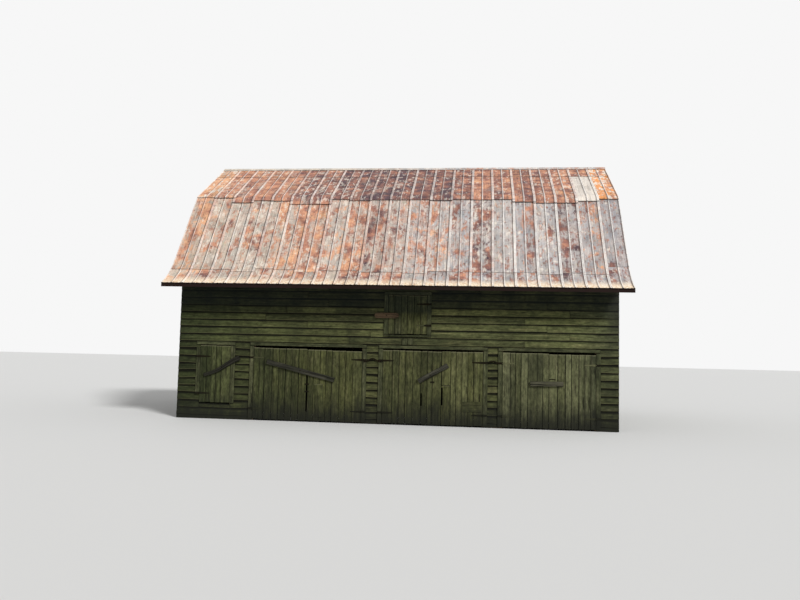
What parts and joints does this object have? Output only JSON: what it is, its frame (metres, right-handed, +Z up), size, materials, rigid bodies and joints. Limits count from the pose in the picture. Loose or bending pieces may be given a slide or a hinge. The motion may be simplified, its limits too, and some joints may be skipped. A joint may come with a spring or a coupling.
{
  "type": "gambrel-roofed weatherboard barn",
  "caption": "Weatherboard barn with a bell-cast gambrel roof of rusted crimped sheets, paired swinging doors with turn bars, a small door and a loft door.",
  "frame": {"origin": "middle of the bounding box at ground level", "axes": "+X along the front wall to its right end, front wall faces -Y, +Z up"},
  "size_m": [12.8, 9.2146, 8.168],
  "materials": {
    "boards": "weathered matte paint",
    "trim": "weathered matte paint",
    "frame_timber": "bare aged timber",
    "lower_sheets": "aged galvanised, part rusted",
    "upper_sheets": "rusted galvanised",
    "cap": "aged galvanised",
    "eave_paint": "dull dark red paint",
    "door_boards": "weathered matte paint",
    "iron": "rusted",
    "bar_wood": "bare grey wood",
    "button_paint": "dull red brown paint"
  },
  "bodies": {
    "barn": {"front_wall_piers": "boards", "front_wall_upper": "boards", "small_door_apron": "boards", "back_wall": "boards", "left_wall": "boards", "right_wall": "boards", "door_trims": "trim", "posts_and_studs": "frame_timber", "sills": "frame_timber", "plates_and_girts": "frame_timber", "middle_beam": "frame_timber", "loft_joists": "frame_timber", "loft_floor": "frame_timber", "lower_rafters": "frame_timber", "upper_rafters": "frame_timber", "purlins_and_ridge_board": "frame_timber", "front_flare_roof": "lower_sheets", "front_lower_roof": "lower_sheets", "back_flare_roof": "lower_sheets", "back_lower_roof": "lower_sheets", "front_upper_roof": "upper_sheets", "back_upper_roof": "upper_sheets", "ridge_cap": "cap", "eave_boards": "eave_paint", "loft_door": "door_boards", "fixed_ironwork": "iron"},
    "small_leaf": {"small_door": "door_boards", "small_door_iron": "iron"},
    "small_bar": {"small_door_bar": "bar_wood"},
    "button": {"loft_button": "button_paint"},
    "door_1_left_leaf": {"door_1_left": "door_boards", "door_1_left_iron": "iron"},
    "door_1_right_leaf": {"door_1_right": "door_boards", "door_1_right_iron": "iron"},
    "door_1_turn_bar": {"door_1_bar": "bar_wood"},
    "door_2_left_leaf": {"door_2_left": "door_boards", "door_2_left_iron": "iron"},
    "door_2_right_leaf": {"door_2_right": "door_boards", "door_2_right_iron": "iron"},
    "door_2_turn_bar": {"door_2_bar": "bar_wood"},
    "door_3_left_leaf": {"door_3_left": "door_boards", "door_3_left_iron": "iron"},
    "door_3_right_leaf": {"door_3_right": "door_boards", "door_3_right_iron": "iron"},
    "door_3_turn_bar": {"door_3_bar": "bar_wood"}
  },
  "joints": [
    {"name": "small_door_swing", "type": "hinge", "parent": "barn", "child": "small_leaf", "pos_m": [-5.491, -3.786, 1.24], "axis": [0, 0, -1], "range_deg": [0, 110]},
    {"name": "small_bar_turn", "type": "hinge", "parent": "small_leaf", "child": "small_bar", "pos_m": [-4.835, -3.811, 1.47], "axis": [0, -1, 0], "range_deg": [-26, 64]},
    {"name": "door_1_left_swing", "type": "hinge", "parent": "barn", "child": "door_1_left_leaf", "pos_m": [-3.926, -3.786, 1.045], "axis": [0, 0, -1], "range_deg": [0, 95]},
    {"name": "door_1_right_swing", "type": "hinge", "parent": "barn", "child": "door_1_right_leaf", "pos_m": [-0.824, -3.786, 1.045], "axis": [0, 0, 1], "range_deg": [0, 95]},
    {"name": "door_1_bar_turn", "type": "hinge", "parent": "door_1_left_leaf", "child": "door_1_turn_bar", "pos_m": [-2.565, -3.811, 1.42], "axis": [0, -1, 0], "range_deg": [0, 103.5]},
    {"name": "door_2_left_swing", "type": "hinge", "parent": "barn", "child": "door_2_left_leaf", "pos_m": [-0.246, -3.786, 1.045], "axis": [0, 0, -1], "range_deg": [0, 95]},
    {"name": "door_2_right_swing", "type": "hinge", "parent": "barn", "child": "door_2_right_leaf", "pos_m": [2.526, -3.786, 1.045], "axis": [0, 0, 1], "range_deg": [0, 95]},
    {"name": "door_2_bar_turn", "type": "hinge", "parent": "door_2_left_leaf", "child": "door_2_turn_bar", "pos_m": [1.08, -3.811, 1.395], "axis": [0, -1, 0], "range_deg": [-29.5, 60.5]},
    {"name": "door_3_left_swing", "type": "hinge", "parent": "barn", "child": "door_3_left_leaf", "pos_m": [3.049, -3.786, 1.045], "axis": [0, 0, -1], "range_deg": [0, 95]},
    {"name": "door_3_right_swing", "type": "hinge", "parent": "barn", "child": "door_3_right_leaf", "pos_m": [5.541, -3.786, 1.045], "axis": [0, 0, 1], "range_deg": [0, 95]},
    {"name": "door_3_bar_turn", "type": "hinge", "parent": "door_3_left_leaf", "child": "door_3_turn_bar", "pos_m": [4.235, -3.811, 1.235], "axis": [0, -1, 0], "range_deg": [-1, 89]},
    {"name": "loft_button_turn", "type": "hinge", "parent": "barn", "child": "button", "pos_m": [-0.16433, -3.811, 3.01], "axis": [0, -1, 0], "range_deg": [0, 90]}
  ],
  "couplings": [
    {"joint": "door_1_right_swing", "follows": "door_1_left_swing", "ratio": 1},
    {"joint": "door_2_right_swing", "follows": "door_2_left_swing", "ratio": 1},
    {"joint": "door_3_right_swing", "follows": "door_3_left_swing", "ratio": 1}
  ]
}
